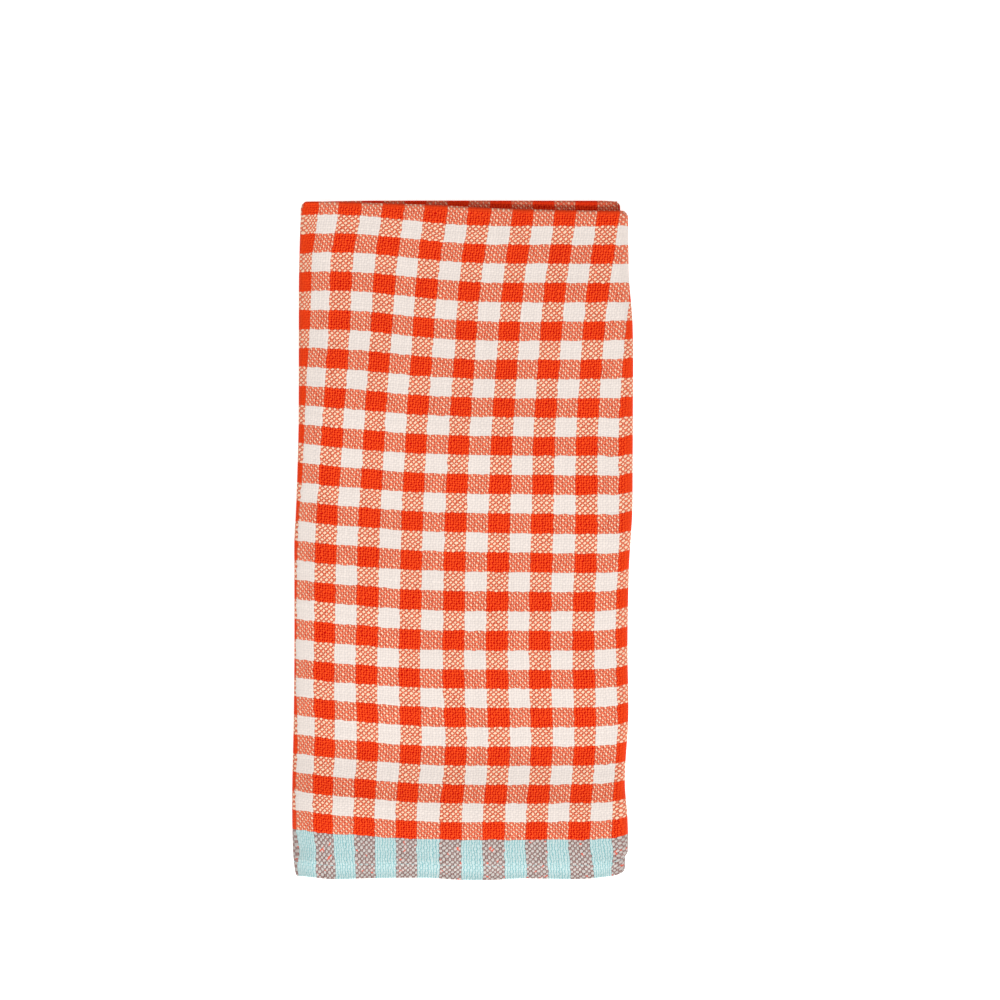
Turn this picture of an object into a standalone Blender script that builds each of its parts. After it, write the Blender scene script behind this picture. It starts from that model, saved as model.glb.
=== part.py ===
"""Folded gingham tea towel: one woven sheet, folded in half and then in thirds.

The sheet is folded a little past its middle first, so that its two hemmed ends lie
together at the bottom, the inner one a little short of the outer one.  The pair is then
folded in thirds: the left third is tucked under the middle one, and the right third
wraps below both.  Six layers lie a little apart.

Metres, +Z up.  +Y runs from the hems to the half fold, +X to the right as the towel is
seen from above.  The origin is under the centre of the folded towel, on the surface
that it rests on.
"""

import math
from collections import namedtuple

import bmesh
import bpy

# Cloth
CLOTH_THICKNESS = 0.0010
HEM_THICKNESS = 0.0015
HEM_WIDTH = 0.009
LAYER_GAP = 0.0004

# Folded size
FOLDED_LENGTH = 0.3512
LEFT_THIRD_STOP = 0.0008
RIGHT_TUCK = 0.1530
CORNER_DEPTH = 0.0036
CORNER_INSET = 0.0012

# The pile of layers: one pitch apart, on levels 0 to 5.  Levels and fold radii are in pitches
PITCH = CLOTH_THICKNESS + LAYER_GAP
TOP_LEVEL = 5.0
TUCKED_LEVEL = 2.0
PAIR_LIFT = 0.5
TOP_PAIR = TOP_LEVEL - PAIR_LIFT
LEFT_FOLD_RADIUS = 1.0
RIGHT_FOLD_RADIUS = 2.0

# The left fold has nothing below it, so its lower side sinks to the surface, its upper less
UPPER_SINK = 0.80
SINK_START = 0.0015
SINK_WIDTH = 0.0120

# The hems make the pile thicker, and past the shorter inner half the top layer droops
HEM_SWELL = 0.50
HEM_SWELL_FULL = 0.026
HEM_SWELL_END = 0.070
DROOP_SWELL = 0.32
DROOP_START = 0.0115

# The layers lie a little uneven
UNEVEN_SWELL = 0.035
UNEVEN_LENGTH_X = 0.110
UNEVEN_LENGTH_Y = 0.170
UNEVEN_PHASE = 0.8
FINER_WAVE = 1.7
FINER_SHARE = 0.6

# Colour and finish, linear RGB
MEAN_CORAL = (0.843, 0.292, 0.191, 1.0)
COTTON_ROUGHNESS = 0.9

# Outermost left and right of the folded towel, by height above the hems
Side = namedtuple("Side", "height left right")
SIDES = (
    Side(height=0.000, left=-0.0866, right=0.0836),
    Side(height=0.014, left=-0.0883, right=0.0852),
    Side(height=0.030, left=-0.0887, right=0.0854),
    Side(height=0.050, left=-0.0887, right=0.0841),
    Side(height=0.084, left=-0.0880, right=0.0859),
    Side(height=0.120, left=-0.0877, right=0.0855),
    Side(height=0.160, left=-0.0877, right=0.0862),
    Side(height=0.190, left=-0.0869, right=0.0880),
    Side(height=0.215, left=-0.0860, right=0.0882),
    Side(height=0.237, left=-0.0855, right=0.0883),
    Side(height=0.286, left=-0.0854, right=0.0882),
    Side(height=0.312, left=-0.0853, right=0.0863),
    Side(height=0.350, left=-0.0843, right=0.0858),
)

# Heights of the half fold and of the outer and inner hems, by place across the sheet:
# 0 is the left side edge, 1 the left fold, 2 to 2.2 the right fold and 3 the right side edge
LEFT_FOLD_PLACE = 1.0
RIGHT_FOLD_PLACE = 2.0
RIGHT_FOLD_END = 2.2
RIGHT_EDGE_PLACE = 3.0
Reach = namedtuple("Reach", "place half_fold outer_hem inner_hem")
REACHES = (
    Reach(place=0.0, half_fold=0.3503, outer_hem=0.0020, inner_hem=0.0120),
    Reach(place=0.8, half_fold=0.3503, outer_hem=0.0012, inner_hem=0.0118),
    Reach(place=1.0, half_fold=0.3497, outer_hem=0.0009, inner_hem=0.0122),
    Reach(place=1.2, half_fold=0.3488, outer_hem=0.0000, inner_hem=0.0126),
    Reach(place=1.5, half_fold=0.3469, outer_hem=-0.0006, inner_hem=0.0122),
    Reach(place=1.8, half_fold=0.3451, outer_hem=-0.0001, inner_hem=0.0124),
    Reach(place=2.0, half_fold=0.3448, outer_hem=0.0016, inner_hem=0.0132),
    Reach(place=2.1, half_fold=0.3450, outer_hem=0.0044, inner_hem=0.0137),
    Reach(place=2.2, half_fold=0.3457, outer_hem=0.0110, inner_hem=0.0140),
    Reach(place=3.0, half_fold=0.3472, outer_hem=0.0035, inner_hem=0.0130),
)

# Columns of the grid, as shares of each zone between a side edge or fold and the next
ACROSS = {
    "left_third": (0.0, 0.13, 0.28, 0.43, 0.58, 0.72, 0.82, 0.87, 0.91, 0.94, 0.97),
    "left_fold": (0.0, 1 / 6, 1 / 3, 1 / 2, 2 / 3, 5 / 6),
    "middle": (0.0, 0.03, 0.06, 0.09, 0.13, 0.18, 0.28, 0.40, 0.52, 0.64, 0.76, 0.88),
    "right_fold": (0.0, 1 / 8, 1 / 4, 3 / 8, 1 / 2, 5 / 8, 3 / 4, 7 / 8),
    "right_third": (0.0, 0.12, 0.27, 0.42, 0.57, 0.72, 0.86, 1.0),
}

# Rows of the grid: distances from the own hem, then rows that both halves share, as shares
# of the height from FIELD_START to the half fold
HEM_STEP = HEM_WIDTH + 0.0015
HEM_ROWS = (0.0, HEM_WIDTH / 2, HEM_WIDTH, HEM_STEP)
FIELD_START = 0.0125
FIELD_ROWS = (0.05, 0.10, 0.16, 0.22, 0.29, 0.37, 0.45, 0.53, 0.60, 0.68, 0.77, 0.84, 0.89, 0.94,
              0.975, 0.989, 0.995)
HALF_FOLD_STEPS = 6


def smooth_step(value):
    """0 below 0, 1 above 1 and a soft S between."""
    value = min(max(value, 0.0), 1.0)
    return value * value * (3 - 2 * value)


def mix(start, end, share):
    return start + (end - start) * share


def table_value(rows, key, column, at):
    """A smooth curve through one column of a table, read at a value of its key."""
    keys = [getattr(row, key) for row in rows]
    values = [getattr(row, column) for row in rows]
    at = min(max(at, keys[0]), keys[-1])
    index = max(i for i in range(len(keys) - 1) if keys[i] <= at)

    def slope(i):
        before, after = max(i - 1, 0), min(i + 1, len(keys) - 1)
        return (values[after] - values[before]) / (keys[after] - keys[before])

    span = keys[index + 1] - keys[index]
    t = (at - keys[index]) / span
    hold_start = (1 + 2 * t) * (1 - t) ** 2 * values[index]
    hold_end = t * t * (3 - 2 * t) * values[index + 1]
    lean_start = t * (1 - t) ** 2 * span * slope(index)
    lean_end = t * t * (t - 1) * span * slope(index + 1)
    return hold_start + hold_end + lean_start + lean_end


def across_stations():
    """Each column of the grid as its zone and its share of the way through that zone."""
    return [(zone, share) for zone, shares in ACROSS.items() for share in shares]


def along_stations():
    """Each row of the grid as its half, distance from the hem, share of the field, and turn."""
    half = [(distance, 0.0) for distance in HEM_ROWS]
    half += [(HEM_STEP, share) for share in FIELD_ROWS]
    outer = [("outer", distance, share, 0.0) for distance, share in half]
    inner = [("inner", distance, share, 1.0) for distance, share in reversed(half)]
    turn = [("turn", HEM_STEP, 1.0, step / HALF_FOLD_STEPS) for step in range(HALF_FOLD_STEPS + 1)]
    return outer + turn + inner


def place_across(zone, share):
    """Where a column lies among the side edges and folds, on the scale of REACHES."""
    start, end = {
        "left_third": (0.0, LEFT_FOLD_PLACE),
        "left_fold": (LEFT_FOLD_PLACE, LEFT_FOLD_PLACE),
        "middle": (LEFT_FOLD_PLACE, RIGHT_FOLD_PLACE),
        "right_fold": (RIGHT_FOLD_PLACE, RIGHT_FOLD_END),
        "right_third": (RIGHT_FOLD_END, RIGHT_EDGE_PLACE),
    }[zone]
    return mix(start, end, share)


def hem_swell(height):
    """How much the hems spread the layers, 0 in the field."""
    share = (height - HEM_SWELL_FULL) / (HEM_SWELL_END - HEM_SWELL_FULL)
    droop = DROOP_SWELL * (1 - smooth_step(height / DROOP_START))
    return HEM_SWELL * (1 - smooth_step(share)) - droop


def uneven_swell(x, height):
    """Low waves in the height of the pile."""
    turn_x = 2 * math.pi * x / UNEVEN_LENGTH_X
    turn_y = 2 * math.pi * height / UNEVEN_LENGTH_Y
    broad = math.sin(turn_x + UNEVEN_PHASE) * math.sin(turn_y)
    finer = math.sin(FINER_WAVE * turn_y + turn_x / 2)
    return UNEVEN_SWELL * (1 + broad + FINER_SHARE * finer)


def half_fold_point(row, place):
    """Height above the hems, side of the pair, distance from the own hem, and from the fold."""
    half, distance, share, turn = row
    fold = table_value(REACHES, "place", "half_fold", place)
    if half == "turn":
        angle = math.pi * turn
        height = fold + PAIR_LIFT * PITCH * math.sin(angle)
        return height, math.cos(angle), fold, 0.0
    hem = table_value(REACHES, "place", half + "_hem", place)
    height = mix(FIELD_START, fold, share) if share > 0 else hem + distance
    return height, 1.0 if half == "outer" else -1.0, height - hem, fold - height


def side_folds(height, from_fold, pitch, thickness):
    """Axes of the left and right folds, drawn in where the half fold rounds the corners."""
    corner = CORNER_INSET * max(1 - from_fold / CORNER_DEPTH, 0.0) ** 2
    inset = corner + PAIR_LIFT * pitch + thickness / 2
    left = table_value(SIDES, "height", "left", height) + inset + LEFT_FOLD_RADIUS * pitch
    right = table_value(SIDES, "height", "right", height) - inset - RIGHT_FOLD_RADIUS * pitch
    return left, right


def third_fold_point(zone, share, left, right, lift, pitch):
    """The cross-section of the pile: x, and the layer's level in pitches above the lowest."""
    if zone == "left_third":
        return mix(right - LEFT_THIRD_STOP, left, share), TOP_PAIR - 2 * LEFT_FOLD_RADIUS - lift
    if zone == "middle":
        return mix(left, right, share), TOP_PAIR + lift
    if zone == "right_third":
        return right - share * RIGHT_TUCK, TOP_PAIR - 2 * RIGHT_FOLD_RADIUS - lift
    angle = math.pi * share
    if zone == "left_fold":
        radius = LEFT_FOLD_RADIUS + lift
        level = TOP_PAIR - LEFT_FOLD_RADIUS - radius * math.cos(angle)
        return left - radius * pitch * math.sin(angle), level
    radius = RIGHT_FOLD_RADIUS + lift
    level = TOP_PAIR - RIGHT_FOLD_RADIUS + radius * math.cos(angle)
    return right + radius * pitch * math.sin(angle), level


def sink(level, x, side_edge):
    """Levels that the left fold comes down past the side edge of the lowest two layers."""
    upper = (level - TUCKED_LEVEL) / (TOP_LEVEL - TUCKED_LEVEL)
    depth = TUCKED_LEVEL * mix(1.0, UPPER_SINK, upper)
    return depth * smooth_step((side_edge - SINK_START - x) / SINK_WIDTH)


def folded_point(column, row):
    """The place of one grid point on the folded towel, and the cloth's thickness there."""
    zone, share = column
    height, side, own_distance, from_fold = half_fold_point(row, place_across(zone, share))
    thickness = HEM_THICKNESS if own_distance < HEM_STEP else CLOTH_THICKNESS
    pitch = PITCH * (1 + hem_swell(height))
    left, right = side_folds(height, from_fold, pitch, thickness)
    x, level = third_fold_point(zone, share, left, right, side * PAIR_LIFT, pitch)
    if zone != "right_third":
        level -= sink(level, max(x, left), right - RIGHT_TUCK)
    z = thickness / 2 + level * pitch * (1 + uneven_swell(x, height))
    return (x, height - FOLDED_LENGTH / 2, z), thickness


def cotton_material():
    material = bpy.data.materials.new("gingham_cotton")
    material.use_nodes = True
    shader = material.node_tree.nodes["Principled BSDF"]
    shader.inputs["Base Color"].default_value = MEAN_CORAL
    shader.inputs["Roughness"].default_value = COTTON_ROUGHNESS
    shader.inputs["Metallic"].default_value = 0.0
    return material


def make_towel(collection):
    """A flat grid, folded point by point, and given the cloth's thickness."""
    columns, rows = across_stations(), along_stations()
    mesh = bpy.data.meshes.new("towel_cloth")
    grid = bmesh.new()
    bmesh.ops.create_grid(grid, x_segments=len(columns) - 1, y_segments=len(rows) - 1, size=0.5)
    weights = {}
    for vertex in grid.verts:
        column = columns[round((vertex.co.x + 0.5) * (len(columns) - 1))]
        row = rows[round((vertex.co.y + 0.5) * (len(rows) - 1))]
        vertex.co, thickness = folded_point(column, row)
        weights[vertex.index] = thickness / HEM_THICKNESS
    grid.to_mesh(mesh)
    grid.free()
    mesh.shade_smooth()
    mesh.materials.append(cotton_material())

    towel = bpy.data.objects.new("towel_cloth", mesh)
    collection.objects.link(towel)
    thicker = towel.vertex_groups.new(name="thickness")
    for index, weight in weights.items():
        thicker.add([index], weight, "REPLACE")
    solidify = towel.modifiers.new("cloth thickness", "SOLIDIFY")
    solidify.thickness = HEM_THICKNESS
    solidify.vertex_group = thicker.name
    solidify.offset = 0.0
    return towel


def main():
    for old in list(bpy.data.objects):
        bpy.data.objects.remove(old, do_unlink=True)
    collection = bpy.data.collections.new("tea_towel")
    bpy.context.scene.collection.children.link(collection)
    make_towel(collection)


main()
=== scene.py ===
import math
from collections import namedtuple

import bpy
import numpy as np
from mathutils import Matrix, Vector


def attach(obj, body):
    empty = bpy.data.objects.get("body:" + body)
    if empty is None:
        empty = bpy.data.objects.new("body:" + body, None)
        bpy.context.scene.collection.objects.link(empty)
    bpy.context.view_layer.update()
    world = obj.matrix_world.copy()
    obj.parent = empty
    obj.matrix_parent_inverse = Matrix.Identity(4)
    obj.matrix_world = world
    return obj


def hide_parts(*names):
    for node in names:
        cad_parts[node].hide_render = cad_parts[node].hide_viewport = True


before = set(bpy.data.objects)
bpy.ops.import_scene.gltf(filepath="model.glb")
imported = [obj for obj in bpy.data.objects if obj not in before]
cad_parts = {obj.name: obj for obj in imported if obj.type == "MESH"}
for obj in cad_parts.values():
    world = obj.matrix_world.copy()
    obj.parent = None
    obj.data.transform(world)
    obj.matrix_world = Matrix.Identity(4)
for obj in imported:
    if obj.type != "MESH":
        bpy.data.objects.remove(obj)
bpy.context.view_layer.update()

# ---------------------------------------------------------------------------
# The folded cloth, in metres.  Its layers lie where the solid's layers lie
# ---------------------------------------------------------------------------
CLOTH_THICKNESS = 0.0010
HEM_THICKNESS = 0.0015
HEM_THIN_START = 0.0075
HEM_THIN_WIDTH = 0.003
LAYER_GAP = 0.0004
FOLDED_LENGTH = 0.3512
LEFT_THIRD_STOP = 0.0002
RIGHT_TUCK = 0.1530
CORNER_DEPTH = 0.0028
CORNER_INSET = 0.0015

# Levels and fold radii are in pitches of the pile, which has levels 0 to 5
PITCH = CLOTH_THICKNESS + LAYER_GAP
TOP_LEVEL = 5.0
TUCKED_LEVEL = 2.0
PAIR_LIFT = 0.5
TOP_PAIR = TOP_LEVEL - PAIR_LIFT
LEFT_FOLD_RADIUS = 1.0
RIGHT_FOLD_RADIUS = 2.0

# The pile sinks where the right third ends below it, and swells over the inner hems
UPPER_SINK = 0.80
SINK_START = 0.0015
SINK_WIDTH = 0.0120
HEM_SWELL = 0.50
HEM_SWELL_FULL = 0.026
HEM_SWELL_END = 0.070
DROOP_SWELL = 0.32
DROOP_START = 0.0115

# Slight waves in its height
UNEVEN_SWELL = 0.035
UNEVEN_LENGTH_X = 0.110
UNEVEN_LENGTH_Y = 0.170
UNEVEN_PHASE = 0.8
FINER_WAVE = 1.7
FINER_SHARE = 0.6

# Outermost left and right of the folded towel, by height above the hems
Side = namedtuple("Side", "height left right")
SIDES = (
    Side(height=0.000, left=-0.0866, right=0.0836),
    Side(height=0.006, left=-0.0877, right=0.0842),
    Side(height=0.0115, left=-0.0881, right=0.0844),
    Side(height=0.0135, left=-0.0883, right=0.0855),
    Side(height=0.030, left=-0.0887, right=0.0855),
    Side(height=0.050, left=-0.0887, right=0.0841),
    Side(height=0.084, left=-0.0880, right=0.0859),
    Side(height=0.120, left=-0.0877, right=0.0855),
    Side(height=0.160, left=-0.0877, right=0.0862),
    Side(height=0.175, left=-0.0877, right=0.0871),
    Side(height=0.190, left=-0.0869, right=0.0880),
    Side(height=0.215, left=-0.0860, right=0.0882),
    Side(height=0.237, left=-0.0855, right=0.0883),
    Side(height=0.286, left=-0.0854, right=0.0882),
    Side(height=0.312, left=-0.0853, right=0.0863),
    Side(height=0.350, left=-0.0843, right=0.0858),
)

# Heights of the half fold and of both hems, by place across the sheet
LEFT_FOLD_PLACE = 1.0
RIGHT_FOLD_PLACE = 2.0
RIGHT_FOLD_END = 2.2
RIGHT_EDGE_PLACE = 3.0
Reach = namedtuple("Reach", "place half_fold outer_hem inner_hem")
REACHES = (
    Reach(place=0.0, half_fold=0.3503, outer_hem=0.0020, inner_hem=0.0120),
    Reach(place=0.8, half_fold=0.3503, outer_hem=0.0012, inner_hem=0.0118),
    Reach(place=1.0, half_fold=0.3497, outer_hem=0.0009, inner_hem=0.0122),
    Reach(place=1.1, half_fold=0.3494, outer_hem=-0.0004, inner_hem=0.0124),
    Reach(place=1.2, half_fold=0.3488, outer_hem=0.0000, inner_hem=0.0126),
    Reach(place=1.4, half_fold=0.3478, outer_hem=0.0003, inner_hem=0.0124),
    Reach(place=1.5, half_fold=0.3469, outer_hem=-0.0007, inner_hem=0.0122),
    Reach(place=1.6, half_fold=0.3461, outer_hem=-0.0008, inner_hem=0.0122),
    Reach(place=1.7, half_fold=0.3455, outer_hem=0.0000, inner_hem=0.0123),
    Reach(place=1.9, half_fold=0.3449, outer_hem=-0.0002, inner_hem=0.0127),
    Reach(place=2.0, half_fold=0.3448, outer_hem=0.0016, inner_hem=0.0132),
    Reach(place=2.1, half_fold=0.3450, outer_hem=0.0044, inner_hem=0.0137),
    Reach(place=2.2, half_fold=0.3457, outer_hem=0.0110, inner_hem=0.0140),
    Reach(place=3.0, half_fold=0.3472, outer_hem=0.0035, inner_hem=0.0130),
)

# ---------------------------------------------------------------------------
# The weave, counted in warp ends across the sheet and weft picks along it
# ---------------------------------------------------------------------------
STRIPE = 8
CHECK = 2 * STRIPE
ENDS = 368
STRIPE_START = 8
PICKS = 552
BAND_PICKS = 16
BAND_LENGTH = 0.0186
PICK_LENGTH = 0.001248

# Checks counted from the left side edge to the middle of the folded towel, and check width
CheckCount = namedtuple("CheckCount", "height count width")
CHECK_COUNTS = (
    CheckCount(height=0.0000, count=11.330, width=0.02218),
    CheckCount(height=0.0246, count=11.285, width=0.02218),
    CheckCount(height=0.0712, count=11.185, width=0.02244),
    CheckCount(height=0.1334, count=11.215, width=0.02240),
    CheckCount(height=0.1956, count=11.165, width=0.02234),
    CheckCount(height=0.2266, count=11.105, width=0.02208),
    CheckCount(height=0.2785, count=10.950, width=0.02197),
    CheckCount(height=0.3199, count=10.785, width=0.02237),
    CheckCount(height=0.3406, count=10.685, width=0.02250),
    CheckCount(height=0.3494, count=10.640, width=0.02250),
)
STRIPE_OFFSET = 0.75

# On the tucked third: width of an end, and picks by which the weft lags near its fold
TUCKED_END_WIDTH = 0.001385
TUCKED_LAG = 3.0
TUCKED_LAG_SHARE = 0.25

# The top layer takes up some ends where it turns down at its left shoulder
SHOULDER_START = -0.0780
SHOULDER_END = -0.0860
SHOULDER_ENDS = 1.7

# How far the weft bows up from a straight line, low and high on the towel
Bow = namedtuple("Bow", "x low high")
BOWS = (
    Bow(x=-0.088, low=0.00640, high=0.00559),
    Bow(x=-0.081, low=0.00570, high=0.00579),
    Bow(x=-0.069, low=0.00419, high=0.00579),
    Bow(x=-0.053, low=0.00290, high=0.00529),
    Bow(x=-0.033, low=0.00120, high=0.00339),
    Bow(x=-0.012, low=0.00030, high=0.00130),
    Bow(x=0.009, low=0.00000, high=0.00000),
    Bow(x=0.050, low=0.00000, high=-0.00020),
    Bow(x=0.066, low=0.00020, high=-0.00020),
    Bow(x=0.079, low=0.00115, high=0.00000),
    Bow(x=0.086, low=0.00290, high=0.00000),
)
BOW_LOW_HEIGHT = 0.210
BOW_HIGH_HEIGHT = 0.310

# How far the weave is drawn to the right of, and up from, an even count
Drift = namedtuple("Drift", "height left_x middle_x right_x left_up middle_up right_up")
DRIFTS = (
    Drift(0.0000, 0.00394, 0.00057, 0.00383, 0.00000, 0.00000, 0.00000),
    Drift(0.0030, 0.00357, 0.00057, 0.00347, 0.00000, 0.00000, 0.00000),
    Drift(0.0070, 0.00290, 0.00057, 0.00269, 0.00026, 0.00026, 0.00026),
    Drift(0.0110, 0.00202, 0.00047, 0.00181, 0.00052, 0.00067, 0.00062),
    Drift(0.0160, 0.00135, 0.00021, 0.00050, 0.00078, 0.00144, 0.00138),
    Drift(0.0225, 0.00041, 0.00016, 0.00005, 0.00088, 0.00176, 0.00179),
    Drift(0.0300, -0.00005, -0.00005, -0.00005, 0.00062, 0.00078, 0.00109),
    Drift(0.0380, -0.00052, -0.00021, -0.00041, 0.00052, 0.00052, 0.00052),
    Drift(0.0480, -0.00078, 0.00021, -0.00036, 0.00021, 0.00000, 0.00016),
    Drift(0.0580, -0.00062, 0.00047, -0.00031, -0.00010, -0.00021, -0.00016),
    Drift(0.0700, -0.00036, 0.00057, -0.00005, -0.00031, -0.00031, -0.00031),
    Drift(0.0840, -0.00047, 0.00010, 0.00000, -0.00026, -0.00016, -0.00010),
    Drift(0.0970, -0.00062, -0.00026, -0.00016, -0.00057, -0.00021, -0.00026),
    Drift(0.1130, -0.00036, -0.00021, -0.00010, -0.00104, -0.00041, -0.00052),
    Drift(0.1280, 0.00010, 0.00010, 0.00000, -0.00052, -0.00021, -0.00041),
    Drift(0.1440, 0.00016, 0.00026, 0.00036, 0.00000, 0.00016, -0.00016),
    Drift(0.1590, 0.00010, 0.00021, 0.00067, 0.00021, 0.00057, -0.00041),
    Drift(0.1750, 0.00016, 0.00031, 0.00098, 0.00062, 0.00083, -0.00036),
    Drift(0.1900, 0.00041, 0.00036, 0.00083, 0.00083, 0.00098, 0.00005),
    Drift(0.2060, 0.00088, 0.00047, 0.00067, 0.00098, 0.00104, 0.00036),
    Drift(0.2210, 0.00078, 0.00047, 0.00047, 0.00104, 0.00104, 0.00041),
    Drift(0.2370, 0.00057, 0.00031, 0.00031, 0.00109, 0.00088, 0.00031),
    Drift(0.2680, 0.00057, 0.00052, 0.00047, 0.00098, 0.00057, 0.00062),
    Drift(0.2840, 0.00052, 0.00031, 0.00041, 0.00073, 0.00041, 0.00052),
    Drift(0.2990, 0.00031, 0.00016, 0.00021, 0.00052, 0.00057, 0.00047),
    Drift(0.3120, 0.00000, 0.00021, 0.00016, 0.00052, 0.00067, 0.00041),
    Drift(0.3250, 0.00000, 0.00062, 0.00047, 0.00041, 0.00062, 0.00026),
    Drift(0.3340, 0.00021, 0.00098, 0.00057, 0.00021, 0.00026, 0.00005),
    Drift(0.3410, 0.00026, 0.00114, 0.00057, 0.00005, 0.00000, 0.00000),
    Drift(0.3500, 0.00031, 0.00119, 0.00057, 0.00000, 0.00000, 0.00000),
)
DRIFT_LEFT = -0.068
DRIFT_RIGHT = 0.066
DRIFT_REACH = 0.080

# Finer than that, some stripes lie a little to the right, at six heights of the towel
Nudge = namedtuple("Nudge", "x hem low middle high top fold")
NUDGES = (
    Nudge(-0.0850, -0.0018, 0.0012, 0.0000, 0.0000, 0.0010, 0.0012),
    Nudge(-0.0800, -0.0022, 0.0010, 0.0003, 0.0000, 0.0013, 0.0036),
    Nudge(-0.0741, -0.0010, 0.0012, 0.0005, -0.0001, -0.0002, 0.0014),
    Nudge(-0.0634, -0.0010, -0.0007, 0.0000, -0.0001, -0.0005, 0.0003),
    Nudge(-0.0523, -0.0008, -0.0002, 0.0000, -0.0003, -0.0001, 0.0006),
    Nudge(-0.0408, -0.0011, -0.0010, 0.0000, -0.0005, -0.0001, 0.0001),
    Nudge(-0.0297, -0.0008, -0.0007, 0.0000, -0.0004, 0.0001, 0.0001),
    Nudge(-0.0186, -0.0006, -0.0013, -0.0003, -0.0006, -0.0008, -0.0008),
    Nudge(-0.0075, 0.0004, 0.0003, 0.0000, 0.0000, 0.0001, 0.0001),
    Nudge(0.0036, 0.0004, -0.0002, -0.0002, -0.0003, -0.0004, -0.0004),
    Nudge(0.0200, 0.0004, 0.0001, 0.0000, 0.0002, 0.0002, 0.0002),
    Nudge(0.0370, -0.0001, -0.0001, -0.0003, -0.0001, -0.0001, -0.0001),
    Nudge(0.0600, -0.0008, 0.0000, 0.0000, -0.0001, -0.0003, -0.0003),
    Nudge(0.0700, -0.0011, 0.0000, 0.0000, -0.0001, -0.0003, -0.0003),
    Nudge(0.0807, -0.0054, 0.0003, 0.0000, -0.0002, 0.0001, 0.0001),
)
NUDGE_HEIGHTS = (0.002, 0.016, 0.160, 0.260, 0.320, 0.345)

# The weft sags on the right rim, about two thirds of the way up
SAG_START = 0.070
SAG_WIDTH = 0.012
SAG_HEIGHT = 0.222
SAG_SPAN = 0.035
SAG_DEPTH = 0.0016


def curve(rows, key, column, at):
    """A smooth curve through one column of a table, read at an array of values of its key."""
    keys = np.array([getattr(row, key) for row in rows], float)
    values = np.array([getattr(row, column) for row in rows], float)
    at = np.clip(np.asarray(at, float), keys[0], keys[-1])
    i = np.clip(np.searchsorted(keys, at, side="right") - 1, 0, len(keys) - 2)
    before = np.maximum(np.arange(len(keys)) - 1, 0)
    after = np.minimum(np.arange(len(keys)) + 1, len(keys) - 1)
    slopes = (values[after] - values[before]) / (keys[after] - keys[before])
    span = keys[i + 1] - keys[i]
    t = (at - keys[i]) / span
    hold = (1 + 2 * t) * (1 - t) ** 2 * values[i] + t * t * (3 - 2 * t) * values[i + 1]
    return hold + span * (t * (1 - t) ** 2 * slopes[i] + t * t * (t - 1) * slopes[i + 1])


def smooth_step(value):
    value = np.clip(value, 0.0, 1.0)
    return value * value * (3 - 2 * value)


def mix(start, end, share):
    return start + (end - start) * share


# ---------------------------------------------------------------------------
# Grid of the sheet
# ---------------------------------------------------------------------------
def spread(count, start_crowd=0.0, end_crowd=0.0):
    """Shares from 0 to just below 1, closer together at a crowded end."""
    t = np.arange(count) / count
    return t + (1 - t) * t * (end_crowd - start_crowd) / 2


ACROSS = (
    ("left_third", spread(26, 0.6, 1.2)),
    ("left_fold", spread(14)),
    ("middle", spread(100, 0.7, 0.7)),
    ("right_fold", spread(20)),
    ("right_third", np.append(spread(22, 0.5, 0.6), 1.0)),
)
SEAM = 0.0076
HEM_ROWS = (0.0, 0.00012, 0.0004, 0.0008, 0.0016, 0.0032, 0.0050, 0.0064, 0.0070, SEAM, 0.0082,
            0.0088, 0.0091, 0.0094, 0.0098, 0.0105)
FIELD_ROWS = 122
FIELD_ROWS_INNER = 56
CORNER_ROWS = (0.9938, 0.9952, 0.9965, 0.9976, 0.9985, 0.9992, 0.9997)
HALF_FOLD_STEPS = 12
ARC_EASE = 0.060

# Rims where the weave is pressed smooth and darkened with painted shade
PRESS_RIM = 0.0015
PRESS_WIDTH_LEFT = 0.0065
PRESS_WIDTH_RIGHT = 0.0050
PRESS_WIDTH_FOLD = 0.0020

# Half of the sheet that a row lies in: the upper one, the half fold's turn, or the lower one
OUTER, TURN, INNER = range(3)


def along_rows():
    """Half, distance from the hem, share on to the fold, and turn of every row."""
    outer_field = np.concatenate([spread(FIELD_ROWS, 0.3, 0.6)[1:-1], CORNER_ROWS])
    inner_field = np.concatenate([spread(FIELD_ROWS_INNER, 0.6, 1.2)[1:-1], CORNER_ROWS])
    rows = [(OUTER, d, 0.0, 0.0) for d in HEM_ROWS]
    rows += [(OUTER, HEM_ROWS[-1], s, 0.0) for s in outer_field]
    rows += [(TURN, 0.0, 1.0, t / HALF_FOLD_STEPS) for t in range(HALF_FOLD_STEPS + 1)]
    rows += [(INNER, HEM_ROWS[-1], s, 1.0) for s in inner_field[::-1]]
    rows += [(INNER, d, 0.0, 1.0) for d in HEM_ROWS[::-1]]
    return [np.array(column) for column in zip(*rows)]


def place_across(zone, share):
    """Place across the sheet, by which the table of reaches is read."""
    start, end = {
        "left_third": (0.0, LEFT_FOLD_PLACE),
        "left_fold": (LEFT_FOLD_PLACE, LEFT_FOLD_PLACE),
        "middle": (LEFT_FOLD_PLACE, RIGHT_FOLD_PLACE),
        "right_fold": (RIGHT_FOLD_PLACE, RIGHT_FOLD_END),
        "right_third": (RIGHT_FOLD_END, RIGHT_EDGE_PLACE),
    }[zone]
    return mix(start, end, share)


def hem_swell(height):
    share = (height - HEM_SWELL_FULL) / (HEM_SWELL_END - HEM_SWELL_FULL)
    droop = DROOP_SWELL * (1 - smooth_step(height / DROOP_START))
    return HEM_SWELL * (1 - smooth_step(share)) - droop


def uneven_swell(x, height):
    turn_x = 2 * math.pi * x / UNEVEN_LENGTH_X
    turn_y = 2 * math.pi * height / UNEVEN_LENGTH_Y
    broad = np.sin(turn_x + UNEVEN_PHASE) * np.sin(turn_y)
    finer = np.sin(FINER_WAVE * turn_y + turn_x / 2)
    return UNEVEN_SWELL * (1 + broad + FINER_SHARE * finer)


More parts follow.
